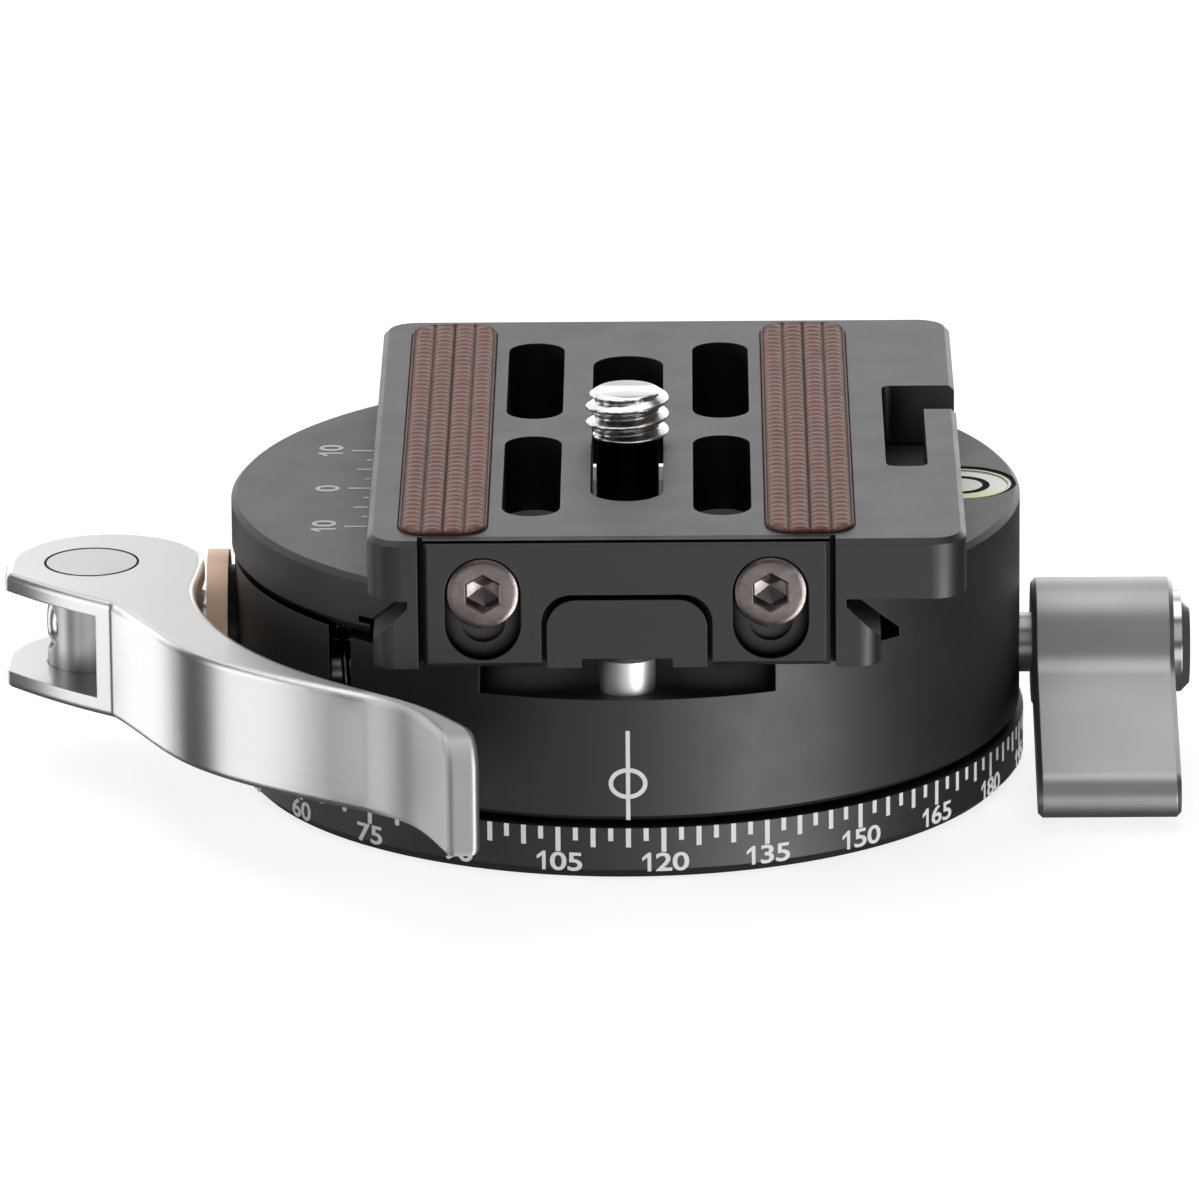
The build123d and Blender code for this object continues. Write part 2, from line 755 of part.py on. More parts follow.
# Spirit level: cup, fluid, bubble and lens
with BuildPart() as level_housing:
    with BuildSketch(Plane.XY.offset(level_foot)):
        with Locations((level_x, level_y)):
            Circle(level_r)
    extrude(amount=level_top - level_foot)
    with BuildSketch(Plane.XY.offset(level_foot + level_floor)):
        with Locations((level_x, level_y)):
            Circle(level_inner_r)
    extrude(amount=level_depth, mode=Mode.SUBTRACT)
level_housing.part.label = "level_housing"
export_step(level_housing.part, "parts/level_housing.step")

with BuildPart() as level_fluid:
    with BuildSketch(Plane.XY.offset(level_foot + level_floor)):
        with Locations((level_x, level_y)):
            Circle(level_inner_r - run_gap)
    extrude(amount=level_lens_z - level_foot - level_floor)
    with BuildSketch(Plane.XY.offset(level_lens_z)):
        with Locations((level_x, level_y)):
            Circle(level_bubble_r + run_gap)
    extrude(amount=-level_bubble_h - run_gap, mode=Mode.SUBTRACT)
level_fluid.part.label = "level_fluid"
export_step(level_fluid.part, "parts/level_fluid.step")

with BuildPart() as level_bubble:
    with BuildSketch(Plane.XY.offset(level_lens_z)):
        with Locations((level_x, level_y)):
            Circle(level_bubble_r)
    extrude(amount=-level_bubble_h)
    fillet(level_bubble.faces().sort_by(Axis.Z)[0].edges(), level_bubble_edge)
level_bubble.part.label = "level_bubble"
export_step(level_bubble.part, "parts/level_bubble.step")

with BuildPart() as level_lens:
    with BuildSketch(Plane.XY.offset(level_lens_z)):
        with Locations((level_x, level_y)):
            Circle(level_inner_r - run_gap)
    extrude(amount=level_lens_h)
level_lens.part.label = "level_lens"
export_step(level_lens.part, "parts/level_lens.step")

# Quick-release plate
with BuildPart() as plate:
    # The upper plate with its side wing
    with BuildSketch(Plane.XY.offset(plate_under)):
        with Locations((plate_mid_x, 0)):
            RectangleRounded(plate_width, plate_length, plate_corner_r)
    extrude(amount=plate_top - plate_under)
    chamfer(plate.faces().sort_by(Axis.Z)[-1].edges(), plate_edge)
    # The dovetail foot
    with BuildSketch(Plane.XY.offset(floor_z)):
        RectangleRounded(flange_width, plate_length, flange_corner_r)
    extrude(amount=plate_under - floor_z)
    with BuildSketch(Plane.XZ.offset(plate_length)):
        for side in (-1, 1):
            Polygon(
                (side * flange_half, flange_top_z),
                (side * neck_half, neck_z),
                (side * neck_half, plate_under),
                (side * outside, plate_under),
                (side * outside, flange_top_z),
                align=None,
            )
    extrude(amount=-2 * plate_length, mode=Mode.SUBTRACT)
    # The recess for the camera screw's head, and the slots
    with BuildSketch(Plane.XY.offset(floor_z)):
        Rectangle(2 * recess_half_width, recess_length)
    extrude(amount=recess_top - floor_z, mode=Mode.SUBTRACT)
    with BuildSketch(Plane.XY.offset(floor_z)):
        with Locations(*slot_places):
            SlotOverall(slot_outer_y - slot_inner_y, slot_width, rotation=90)
        SlotOverall(centre_slot_length, centre_slot_width, rotation=90)
    extrude(amount=plate_top - floor_z, mode=Mode.SUBTRACT)
    # The strap slot in the wing, with its entry
    with BuildSketch(Plane.XY.offset(plate_under)) as strap_slot:
        with Locations((strap_slot_x, 0)):
            Rectangle(strap_slot_width, strap_slot_length, align=(Align.MIN, Align.CENTER))
        fillet(strap_slot.vertices(), strap_slot_corner)
        with Locations((strap_slot_x + strap_slot_width / 2, strap_slot_length / 2)):
            Rectangle(outside, strap_entry_width, align=(Align.MIN, Align.MAX))
    extrude(amount=plate_top - plate_under, mode=Mode.SUBTRACT)
    # The seats for the rubber strips
    with BuildSketch(Plane.XY.offset(plate_top)):
        with Locations((-strip_x, 0), (strip_x, 0)):
            RectangleRounded(strip_seat_width, strip_seat_length, strip_corner_r)
    extrude(amount=-strip_sunk, mode=Mode.SUBTRACT)
    # The flap's seat across the front, round the block that fills the flap's window
    with BuildSketch(Plane.XZ.offset(plate_half)):
        with Locations((0, floor_z)):
            Rectangle(
                flap_width + 2 * flap_seam,
                plate_top - floor_z,
                align=(Align.CENTER, Align.MIN),
            )
        with Locations((0, floor_z - flap_window_r)):
            RectangleRounded(
                flap_window_width - 2 * flap_seam,
                flap_window_h - flap_seam + flap_window_r,
                flap_window_r,
                align=(Align.CENTER, Align.MIN),
                mode=Mode.SUBTRACT,
            )
    extrude(amount=front_y - recess_back_y, mode=Mode.SUBTRACT)
    # The stop pin's notch, and the threaded holes of the flap's screws
    with BuildSketch(Plane.XY.offset(floor_z)):
        with Locations((0, front_y)):
            Rectangle(pin_notch_width, pin_notch_length, align=(Align.CENTER, Align.MIN))
    extrude(amount=pin_notch_depth, mode=Mode.SUBTRACT)
    with BuildSketch(Plane.XZ.offset(-recess_back_y)):
        with Locations((-flap_screw_x, flap_screw_z), (flap_screw_x, flap_screw_z)):
            Circle(flap_screw_r + run_gap)
    extrude(amount=-flap_screw_length, mode=Mode.SUBTRACT)
plate.part.label = "plate"
export_step(plate.part, "parts/plate.step")

# Rubber strips
for side, strip_name in ((-1, "pad_left"), (1, "pad_right")):
    with BuildPart() as strip:
        with BuildSketch(Plane.XY.offset(plate_top - strip_sunk)):
            with Locations((side * strip_x, 0)):
                RectangleRounded(strip_width, strip_length, strip_corner_r)
        extrude(amount=strip_sunk + strip_proud)
        chamfer(strip.faces().sort_by(Axis.Z)[-1].edges(), strip_edge)
    strip.part.label = strip_name
    export_step(strip.part, f"parts/{strip_name}.step")

# Anti-twist flap
with BuildPart() as flap:
    with BuildSketch(Plane.XZ.offset(plate_half)):
        with Locations((0, floor_z + flap_foot_gap)):
            Rectangle(
                flap_width,
                plate_top - floor_z - flap_foot_gap,
                align=(Align.CENTER, Align.MIN),
            )
    extrude(amount=-flap_t)
    chamfer(flap.faces().sort_by(Axis.Y)[0].edges(), flap_edge)
    with BuildSketch(Plane.XZ.offset(plate_half)):
        with Locations((0, floor_z - flap_window_r)):
            RectangleRounded(
                flap_window_width,
                flap_window_h + flap_window_r,
                flap_window_r,
                align=(Align.CENTER, Align.MIN),
            )
    extrude(amount=-flap_t, mode=Mode.SUBTRACT)
    with BuildSketch(Plane.XZ.offset(plate_half)):
        with Locations(*flap_slot_places):
            SlotOverall(flap_slot_width + flap_travel, flap_slot_width, rotation=90)
    extrude(amount=-flap_counterbore, mode=Mode.SUBTRACT)
    with BuildSketch(Plane.XZ.offset(plate_half)):
        with Locations(*flap_slot_places):
            SlotOverall(flap_neck_width + flap_travel, flap_neck_width, rotation=90)
    extrude(amount=-flap_t, mode=Mode.SUBTRACT)
flap.part.label = "flap"
export_step(flap.part, "parts/flap.step")

# Flap screws
with BuildPart() as flap_screws:
    with BuildSketch(Plane.XZ.offset(flap_head_back)):
        with Locations((-flap_screw_x, flap_screw_z), (flap_screw_x, flap_screw_z)):
            Circle(flap_screw_head_r)
    extrude(amount=flap_screw_head_h)
    chamfer(flap_screws.faces().group_by(Axis.Y)[0].edges(), flap_screw_edge)
    with BuildSketch(Plane.XZ.offset(flap_head_back)):
        with Locations((-flap_screw_x, flap_screw_z), (flap_screw_x, flap_screw_z)):
            Circle(flap_screw_r)
    extrude(amount=-flap_screw_length)
    with BuildSketch(Plane.XZ.offset(flap_head_back + flap_screw_head_h)):
        with Locations((-flap_screw_x, flap_screw_z), (flap_screw_x, flap_screw_z)):
            RegularPolygon(flap_socket_flats / 2, 6, major_radius=False)
    extrude(amount=-flap_socket_depth, mode=Mode.SUBTRACT)
flap_screws.part.label = "flap_screws"
export_step(flap_screws.part, "parts/flap_screws.step")

# Slider that carries the camera screw along the centre slot
with BuildPart() as screw_slider:
    with BuildSketch(Plane.XY.offset(slider_z)):
        with Locations((0, screw_y)):
            Rectangle(2 * slider_half_width, slider_length)
    extrude(amount=slider_plate_h)
    with BuildSketch(Plane.XY.offset(slider_z + slider_plate_h)):
        with Locations((0, screw_y)):
            Rectangle(centre_slot_width - 2 * run_gap, slider_tongue_length)
    extrude(amount=slider_tongue_h)
    with BuildSketch(Plane.XY.offset(slider_z)):
        with Locations((0, screw_y)):
            Circle(screw_neck_r + run_gap)
    extrude(amount=slider_plate_h + slider_tongue_h, mode=Mode.SUBTRACT)
screw_slider.part.label = "screw_slider"
export_step(screw_slider.part, "parts/screw_slider.step")

# Camera screw: thread above the plate, thin neck through the slot
with BuildPart() as camera_screw:
    with BuildSketch(Plane.XY.offset(screw_thread_z)):
        with Locations((0, screw_y)):
            Circle(screw_r)
    extrude(amount=screw_top - screw_thread_z)
    chamfer(camera_screw.faces().sort_by(Axis.Z)[-1].edges(), screw_chamfer)
    with BuildSketch(Plane.XY.offset(screw_neck_z)):
        with Locations((0, screw_y)):
            Circle(screw_neck_r)
    extrude(amount=screw_thread_z - screw_neck_z)
camera_screw.part.label = "camera_screw"
export_step(camera_screw.part, "parts/camera_screw.step")

# Head of the camera screw, with a coin slot below
with BuildPart() as screw_head:
    with BuildSketch(Plane.XY.offset(screw_head_z)):
        with Locations((0, screw_y)):
            Circle(screw_head_r)
    extrude(amount=screw_head_h)
    with BuildSketch(Plane.XY.offset(screw_head_z)):
        with Locations((0, screw_y)):
            Circle(screw_neck_r + run_gap)
    extrude(amount=screw_head_h, mode=Mode.SUBTRACT)
    with BuildSketch(Plane.XY.offset(screw_head_z)):
        with Locations((0, screw_y)):
            Rectangle(outside, coin_slot_width)
    extrude(amount=coin_slot_depth, mode=Mode.SUBTRACT)
screw_head.part.label = "screw_head"
export_step(screw_head.part, "parts/screw_head.step")
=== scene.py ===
from math import cos, pi, radians, sin, sqrt, tan

import bmesh
import bpy
from mathutils import Matrix, Vector

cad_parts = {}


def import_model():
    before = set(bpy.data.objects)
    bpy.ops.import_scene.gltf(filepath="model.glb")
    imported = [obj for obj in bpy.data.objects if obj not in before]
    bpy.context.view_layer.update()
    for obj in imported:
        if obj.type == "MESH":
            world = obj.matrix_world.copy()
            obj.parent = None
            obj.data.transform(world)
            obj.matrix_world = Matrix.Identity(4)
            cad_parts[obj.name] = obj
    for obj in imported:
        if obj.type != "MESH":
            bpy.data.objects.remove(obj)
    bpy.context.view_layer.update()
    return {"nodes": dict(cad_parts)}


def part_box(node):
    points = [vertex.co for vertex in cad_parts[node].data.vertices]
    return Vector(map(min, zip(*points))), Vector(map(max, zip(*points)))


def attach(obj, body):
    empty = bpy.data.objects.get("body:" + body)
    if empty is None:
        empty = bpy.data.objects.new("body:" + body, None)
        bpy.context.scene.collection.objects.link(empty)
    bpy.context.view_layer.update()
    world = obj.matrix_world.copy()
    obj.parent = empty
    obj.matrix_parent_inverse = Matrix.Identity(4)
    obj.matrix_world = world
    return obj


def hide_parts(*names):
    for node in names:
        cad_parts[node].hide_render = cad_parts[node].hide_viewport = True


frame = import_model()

MM = 0.001
nodes = frame["nodes"]


# Low and high corner of a node's box, in millimetres
def box_mm(node):
    low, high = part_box(node)
    return low / MM, high / MM


base_low, base_high = box_mm("base")
ring_r = (base_high.x - base_low.x) / 2
ring_top = box_mm("glide_washer")[0].z
body_low, body_high = box_mm("pan_body")
body_r = (body_high.y - body_low.y) / 2
jaw_top = box_mm("moving_jaw")[1].z
plate_top = box_mm("plate")[1].z
flap_top = box_mm("flap")[1].z
thumb_end = box_mm("clamp_lever")[1].x
screw_low, screw_high = box_mm("camera_screw")
screw_centre = (screw_low + screw_high) / 2
screw_r = (screw_high.x - screw_low.x) / 2
lens_low, lens_high = box_mm("level_lens")
lens_centre = (lens_low + lens_high) / 2
flap_screw_low, flap_screw_high = box_mm("flap_screws")

# The rubber strips have this many ribs along them, a rim round them and ridges across them
rib_count = 4
rib_rim = 0.2
ridge_pitch = 1.1

# Printed marks stand this much proud of their surface, and reach this deep under it
print_height = 0.02
print_depth = 0.03


# Mesh helpers. Points are given in millimetres
def add_object(name, data):
    item = bpy.data.objects.new(name, data)
    bpy.context.scene.collection.objects.link(item)
    return item


def mesh_piece(name, points, faces, materials, body, smooth=True, face_slots=None):
    mesh = bpy.data.meshes.new(name)
    mesh.from_pydata([Vector(p) * MM for p in points], [], faces)
    for material in materials:
        mesh.materials.append(material)
    if face_slots:
        mesh.polygons.foreach_set("material_index", face_slots)
    if smooth:
        mesh.polygons.foreach_set("use_smooth", [True] * len(faces))
    mesh.validate()
    mesh.update()
    piece = add_object(name, mesh)
    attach(piece, body)
    return piece


def tidy_mesh(piece):
    merge_mm = 0.0005
    edit = bmesh.new()
    edit.from_mesh(piece.data)
    bmesh.ops.remove_doubles(edit, verts=edit.verts, dist=merge_mm * MM)
    bmesh.ops.dissolve_degenerate(edit, edges=edit.edges, dist=merge_mm * MM / 10)
    bmesh.ops.recalc_face_normals(edit, faces=edit.faces)
    edit.to_mesh(piece.data)
    edit.free()


def sharpen(piece, angle_deg):
    edit = bmesh.new()
    edit.from_mesh(piece.data)
    for edge in edit.edges:
        joins_two = len(edge.link_faces) == 2
        edge.smooth = not (joins_two and edge.calc_face_angle(0) > radians(angle_deg))
    edit.to_mesh(piece.data)
    edit.free()


# Faces between rows of points that each go once round, with a cap on the first and on the last row
def turned_faces(rows, steps):
    faces = []
    for row in range(rows - 1):
        for step in range(steps):
            after = (step + 1) % steps
            faces.append((
                row * steps + step,
                row * steps + after,
                (row + 1) * steps + after,
                (row + 1) * steps + step,
            ))
    faces.append(tuple(range(steps))[::-1])
    faces.append(tuple(range((rows - 1) * steps, rows * steps)))
    return faces


# A closed slab over a flat outline, carried onto a surface by place(u, v, height)
def add_slab(points, faces, outline, place):
    first = len(points)
    count = len(outline)
    for u, v in outline:
        points.append(place(u, v, print_height))
    for u, v in outline:
        points.append(place(u, v, -print_depth))
    faces.append(tuple(range(first, first + count)))
    faces.append(tuple(range(first + 2 * count - 1, first + count - 1, -1)))
    for i in range(count):
        j = (i + 1) % count
        faces.append((first + j, first + i, first + count + i, first + count + j))


def add_bar(points, faces, left, right, low, high, place):
    add_slab(points, faces, [(left, low), (right, low), (right, high), (left, high)], place)


# A flat ring, round or oval, as short slabs. inner and outer are its half width and half height
def add_ring(points, faces, inner, outer, steps, place):
    for step in range(steps):
        corners = []
        for turn, reach in ((step, inner), (step, outer), (step + 1, outer), (step + 1, inner)):
            angle = 2 * pi * turn / steps
            corners.append((reach[0] * cos(angle), reach[1] * sin(angle)))
        add_slab(points, faces, corners, place)


# One digit as a solid, in millimetres from its foot's middle. The 1 is drawn here, for its flag
def digit_mesh(digit, height, width_share, weight):
    points = []
    faces = []
    if digit == "1":
        stem = 0.19 * height
        left = 0.02 * height
        shoulder = left + 0.04 * height
        flag_out = 0.25 * height
        flag_level = height - 0.26 * height
        outline = [
            (left, 0.0),
            (left + stem, 0.0),
            (left + stem, height),
            (shoulder, height),
            (-flag_out, flag_level),
            (-flag_out, flag_level - stem),
            (left, flag_level),
        ]
        add_slab(points, faces, outline, lambda u, v, rise: (u, v, rise))
        return points, faces
    # A digit of the built-in font is this share of the font's size high
    digit_height = 0.70
    curve = bpy.data.curves.new("digit", "FONT")
    curve.body = digit
    curve.align_x = "CENTER"
    curve.resolution_u = 4
    curve.size = (height - 2 * weight) / digit_height
    curve.offset = weight
    curve.extrude = (print_height + print_depth) / 2
    carrier = add_object("digit", curve)
    bpy.context.view_layer.update()
    shown = carrier.evaluated_get(bpy.context.evaluated_depsgraph_get())
    mesh = bpy.data.meshes.new_from_object(shown)
    across = [vertex.co.x for vertex in mesh.vertices]
    middle = (min(across) + max(across)) / 2
    lift = (print_height - print_depth) / 2
    for vertex in mesh.vertices:
        x, y, z = vertex.co
        points.append(((x - middle) * width_share, y + weight, z + lift))
    faces += [tuple(polygon.vertices) for polygon in mesh.polygons]
    bpy.data.objects.remove(carrier)
    bpy.data.curves.remove(curve)
    bpy.data.meshes.remove(mesh)
    return points, faces


# Numerals as solids, centred on u 0 and standing on v 0
def add_numerals(points, faces, text, height, place):
    advance = 0.86 * height
    width_share = 1.32
    weight = 0.025 * height
    for index, digit in enumerate(text):
        middle = (index - (len(text) - 1) / 2) * advance
        digit_points, digit_faces = digit_mesh(digit, height, width_share, weight)
        first = len(points)
        points += [place(middle + u, v, rise) for u, v, rise in digit_points]
        faces += [tuple(first + i for i in face) for face in digit_faces]


# Carries (u, v, height) onto the side of an upright cylinder, u to the right as seen from outside
def on_drum(radius, angle_deg, level):
    def place(u, v, height):
        angle = radians(angle_deg) + u / radius
        return ((radius + height) * cos(angle), (radius + height) * sin(angle), level + v)
    return place


# Material helpers
def node_tree(material):
    material.use_nodes = True
    return material.node_tree


def add_node(tree, kind, **settings):
    node = tree.nodes.new(kind)
    for key, value in settings.items():
        setattr(node, key, value)
    return node


def object_place(tree):
    return add_node(tree, "ShaderNodeTexCoord").outputs["Object"]


def split_axes(tree, vector):
    split = add_node(tree, "ShaderNodeSeparateXYZ")
    tree.links.new(vector, split.inputs["Vector"])
    return split.outputs


def calculate(tree, operation, *values):
    node = add_node(tree, "ShaderNodeMath", operation=operation)
    for socket, value in zip(node.inputs, values):
        if isinstance(value, float):
            socket.default_value = value
        else:
            tree.links.new(value, socket)
    return node.outputs["Value"]


# Runs from low to high while the value goes from start to end, and stays there beyond them
def ramp(tree, value, start, end, low=0.0, high=1.0):
    ranged = add_node(tree, "ShaderNodeMapRange")
    ranged.inputs["From Min"].default_value = start
    ranged.inputs["From Max"].default_value = end
    ranged.inputs["To Min"].default_value = low
    ranged.inputs["To Max"].default_value = high
    tree.links.new(value, ranged.inputs["Value"])
    return ranged.outputs["Result"]


def noise(tree, coordinates, scale, detail=2.0, stretch=(1.0, 1.0, 1.0)):
    mapping = add_node(tree, "ShaderNodeMapping")
    mapping.inputs["Scale"].default_value = stretch
    tree.links.new(coordinates, mapping.inputs["Vector"])
    texture = add_node(tree, "ShaderNodeTexNoise")
    texture.inputs["Scale"].default_value = scale
    texture.inputs["Detail"].default_value = detail
    tree.links.new(mapping.outputs["Vector"], texture.inputs["Vector"])
    return texture.outputs["Fac"]


# Noise lies mostly between these two values, which are spread out to low and high
def spread(tree, value, low, high):
    noise_low = 0.25
    noise_high = 0.75
    return ramp(tree, value, noise_low, noise_high, low, high)


def mix_colours(tree, factor, first, second):
    mix = add_node(tree, "ShaderNodeMix", data_type="RGBA")
    for socket, value in ((mix.inputs["A"], first), (mix.inputs["B"], second)):
        if isinstance(value, tuple):
            socket.default_value = (*value, 1.0)
        else:
            tree.links.new(value, socket)
    tree.links.new(factor, mix.inputs["Factor"])
    return mix.outputs["Result"]


# Mixes one more tone over the colour that a material has so far
def tint(material, factor, tone):
    tree = material.node_tree
    colour = tree.nodes["Principled BSDF"].inputs["Base Color"]
    tree.links.new(mix_colours(tree, factor, colour.links[0].from_socket, tone), colour)


# Softened edges and fine grain. Returns the normal of the softened edges
def edges_and_grain(tree, place, edge_mm, samples, scale, height, strength):
    shader = tree.nodes["Principled BSDF"]
    round_edges = add_node(tree, "ShaderNodeBevel", samples=samples)
    round_edges.inputs["Radius"].default_value = edge_mm * MM
    grain = add_node(tree, "ShaderNodeBump")
    grain.inputs["Strength"].default_value = strength
    grain.inputs["Distance"].default_value = height * MM
    tree.links.new(noise(tree, place, scale), grain.inputs["Height"])
    tree.links.new(round_edges.outputs["Normal"], grain.inputs["Normal"])
    tree.links.new(grain.outputs["Normal"], shader.inputs["Normal"])
    return round_edges.outputs["Normal"]


# A surface with two close tones, a roughness that drifts, fine grain and softened edges
def finish(
    name,
    tones,
    roughness,
    metallic=0.0,
    tone_scale=120.0,
    grain_scale=9000.0,
    grain_height=0.002,
    grain_strength=0.3,
    edge_mm=0.08,
    edge_highlight_tone=None,
    **constants,
):
    material = bpy.data.materials.new(name)
    tree = node_tree(material)
    shader = tree.nodes["Principled BSDF"]
    shader.inputs["Metallic"].default_value = metallic
    for socket, value in constants.items():
        shader.inputs[socket.replace("_", " ")].default_value = value
    place = object_place(tree)
    cloud = noise(tree, place, tone_scale, detail=3.0)
    colour = mix_colours(tree, spread(tree, cloud, 0.0, 1.0), *tones)
    tree.links.new(colour, shader.inputs["Base Color"])
    drift_scale = tone_scale * 2.3
    drift = noise(tree, place, drift_scale, detail=4.0)
    tree.links.new(spread(tree, drift, *roughness), shader.inputs["Roughness"])
    soft_normal = edges_and_grain(
        tree,
        place,
        edge_mm,
        samples=4,
        scale=grain_scale,
        height=grain_height,
        strength=grain_strength,
    )
    if edge_highlight_tone:
        # Painted highlight: lighter where the softened normal leaves the face's own, along the
        # edges
        flat_cosine = 0.98
        edge_cosine = 0.85
        highlight_share = 0.7
        meeting = add_node(tree, "ShaderNodeVectorMath", operation="DOT_PRODUCT")
        tree.links.new(soft_normal, meeting.inputs[0])
        face_normal = add_node(tree, "ShaderNodeNewGeometry").outputs["Normal"]
        tree.links.new(face_normal, meeting.inputs[1])
        edge_highlight = ramp(tree, meeting.outputs["Value"], flat_cosine, edge_cosine, high=highlight_share)
        tint(material, edge_highlight, edge_highlight_tone)
    return material


# Black anodised metal with painted shade: hollows that the occlusion finds turn black. It can also
# draw a painted shadow line round a given level
def black_anodised(name, tone, roughness, shadow_line_z=None):
    light_gain = 1.35
    # Painted edge highlight: edges get this many times the base tone
    highlight_gain = 3
    hollow_reach = 3.0
    hollow_start = 0.93
    hollow_full = 0.55
    line_foot = 0.20
    shadow_line_full = 0.14
    black = (0.0, 0.0, 0.0)
    material = finish(
        name,
        (tone, tuple(channel * light_gain for channel in tone)),
        (roughness - 0.03, roughness + 0.04),
        grain_scale=7000.0,
        grain_height=0.004,
        grain_strength=0.25,
        edge_mm=0.1,
        edge_highlight_tone=tuple(channel * highlight_gain for channel in tone),
        IOR=1.5,
        Specular_IOR_Level=0.8,
    )
    tree = node_tree(material)
    # Painted shade: occlusion within this part turns hollows, slots and recesses black, in the
    # base colour and by making them black metal
    near = add_node(tree, "ShaderNodeAmbientOcclusion", samples=6, only_local=True)
    near.inputs["Distance"].default_value = hollow_reach * MM
    shade = ramp(tree, near.outputs["AO"], hollow_start, hollow_full)
    if shadow_line_z is not None:
        # Painted shadow: a black band just under the given level, where the plate's lip shades the
        # flap's top edge
        level = split_axes(tree, object_place(tree))["Z"]
        line = ramp(tree, level, (shadow_line_z - line_foot) * MM, (shadow_line_z - shadow_line_full) * MM)
        shade = calculate(tree, "MAXIMUM", shade, line)
    tint(material, shade, black)
    tree.links.new(shade, tree.nodes["Principled BSDF"].inputs["Metallic"])
    return material


body_black = black_anodised("black_body", (0.007, 0.007, 0.0075), 0.50)
base_black = black_anodised("black_base", (0.007, 0.007, 0.0075), 0.50)
plate_black = black_anodised("black_plate", (0.008, 0.008, 0.0083), 0.46)
# The flap's material draws a painted shadow line under its top edge, where the plate's lip shades
# it
flap_black = black_anodised("black_flap", (0.008, 0.008, 0.0083), 0.46, shadow_line_z=flap_top)


# Painted shade: faces that look straight up get a base colour mixed towards black, so they read
# darker than the sides
def dull_level_faces(material, share):
    slope_start = 0.8
    slope_full = 0.97
    black = (0.0, 0.0, 0.0)
    tree = material.node_tree
    normal = add_node(tree, "ShaderNodeTexCoord").outputs["Normal"]
    upward = split_axes(tree, normal)["Z"]
    tint(material, ramp(tree, upward, slope_start, slope_full, high=share), black)


# Satin steel. Its grain runs along the lever, so that reflections draw out upright on its sides.
# The thumb end is blasted, not brushed, from matt_start to matt_full in millimetres from its end
def satin_lever():
    matt_start = 9.0
    matt_full = 6.6
    matt_gain = 0.32
    grain_direction = (0.2, 0.3, 4.0)
    material = bpy.data.materials.new("silver_lever")
    tree = node_tree(material)
    shader = tree.nodes["Principled BSDF"]
    shader.inputs["Metallic"].default_value = 1.0
    shader.inputs["Anisotropic"].default_value = 0.8
    place = object_place(tree)
    streak = noise(tree, place, 40.0, detail=5.0, stretch=(1.0, 1.0, 90.0))
    cloud = noise(tree, place, 90.0)
    tones = ((0.72, 0.72, 0.715), (0.76, 0.76, 0.755))
    colour = mix_colours(tree, spread(tree, streak, 0.0, 1.0), *tones)
    tree.links.new(colour, shader.inputs["Base Color"])
    brushed = calculate(
        tree, "ADD", spread(tree, streak, -0.008, 0.008), spread(tree, cloud, 0.27, 0.30)
    )
    thumb = ramp(
        tree,
        split_axes(tree, place)["X"],
        (thumb_end - matt_start) * MM,
        (thumb_end - matt_full) * MM,
        high=matt_gain,
    )
    tree.links.new(calculate(tree, "ADD", brushed, thumb), shader.inputs["Roughness"])
    tangent = add_node(tree, "ShaderNodeCombineXYZ")
    for socket, value in zip(tangent.inputs, grain_direction):
        socket.default_value = value
    tree.links.new(tangent.outputs["Vector"], shader.inputs["Tangent"])
    edges_and_grain(
        tree, place, edge_mm=0.2, samples=6, scale=7000.0, height=0.002, strength=0.05
    )
    return material


fine_grain = {"grain_scale": 5000.0, "grain_height": 0.001, "grain_strength": 0.1}
lever_steel = satin_lever()
# Painted shade on the lever's upward faces
dull_level_faces(lever_steel, 0.38)
knob_titanium = finish(
    "titanium_knob",
    tones=((0.37, 0.37, 0.375), (0.41, 0.41, 0.415)),
    roughness=(0.42, 0.47),
    metallic=1.0,
    grain_scale=8000.0,
    grain_height=0.004,
    grain_strength=0.2,
    edge_mm=0.12,
)
polished_steel = finish(
    "bright_steel",
    tones=((0.70, 0.70, 0.695), (0.77, 0.77, 0.765)),
    roughness=(0.17, 0.24),
    metallic=1.0,
    edge_mm=0.05,
    **fine_grain,
)
pin_steel = finish(
    "pin_steel",
    tones=((0.84, 0.84, 0.835), (0.90, 0.90, 0.895)),
    roughness=(0.46, 0.54),
    metallic=1.0,
    edge_mm=0.1,
    **fine_grain,
)
barrel_steel = finish(
    "barrel_steel",
    tones=((0.62, 0.62, 0.615), (0.68, 0.68, 0.675)),
    roughness=(0.32, 0.38),
    metallic=1.0,
    edge_mm=0.1,
    **fine_grain,
)
# Painted shade on the barrel's upward faces
dull_level_faces(barrel_steel, 0.42)
turned_steel = finish(
    "plain_steel",
    tones=((0.38, 0.375, 0.37), (0.46, 0.455, 0.45)),
    roughness=(0.26, 0.36),
    metallic=1.0,
    edge_mm=0.05,
)
screw_steel = finish(
    "browned_steel",
    tones=((0.17, 0.145, 0.14), (0.30, 0.265, 0.255)),
    roughness=(0.24, 0.36),
    metallic=1.0,
    tone_scale=900.0,
    grain_scale=4000.0,
    grain_height=0.01,
    grain_strength=0.25,
    edge_mm=0.05,
)
# Near-black steel: the camera screw's dark neck, and painted shade on the screw head that sits
# under the plate in its slot
dark_neck_and_shade_steel = finish(
    "dark_neck_and_shade_steel",
    tones=((0.05, 0.05, 0.05), (0.08, 0.08, 0.08)),
    roughness=(0.16, 0.24),
    metallic=1.0,
    edge_mm=0.05,
)
bronze = finish(
    "bronze",
    tones=((0.74, 0.51, 0.37), (0.80, 0.57, 0.42)),
    roughness=(0.40, 0.50),
    metallic=0.25,
    grain_height=0.003,
    edge_mm=0.1,
)
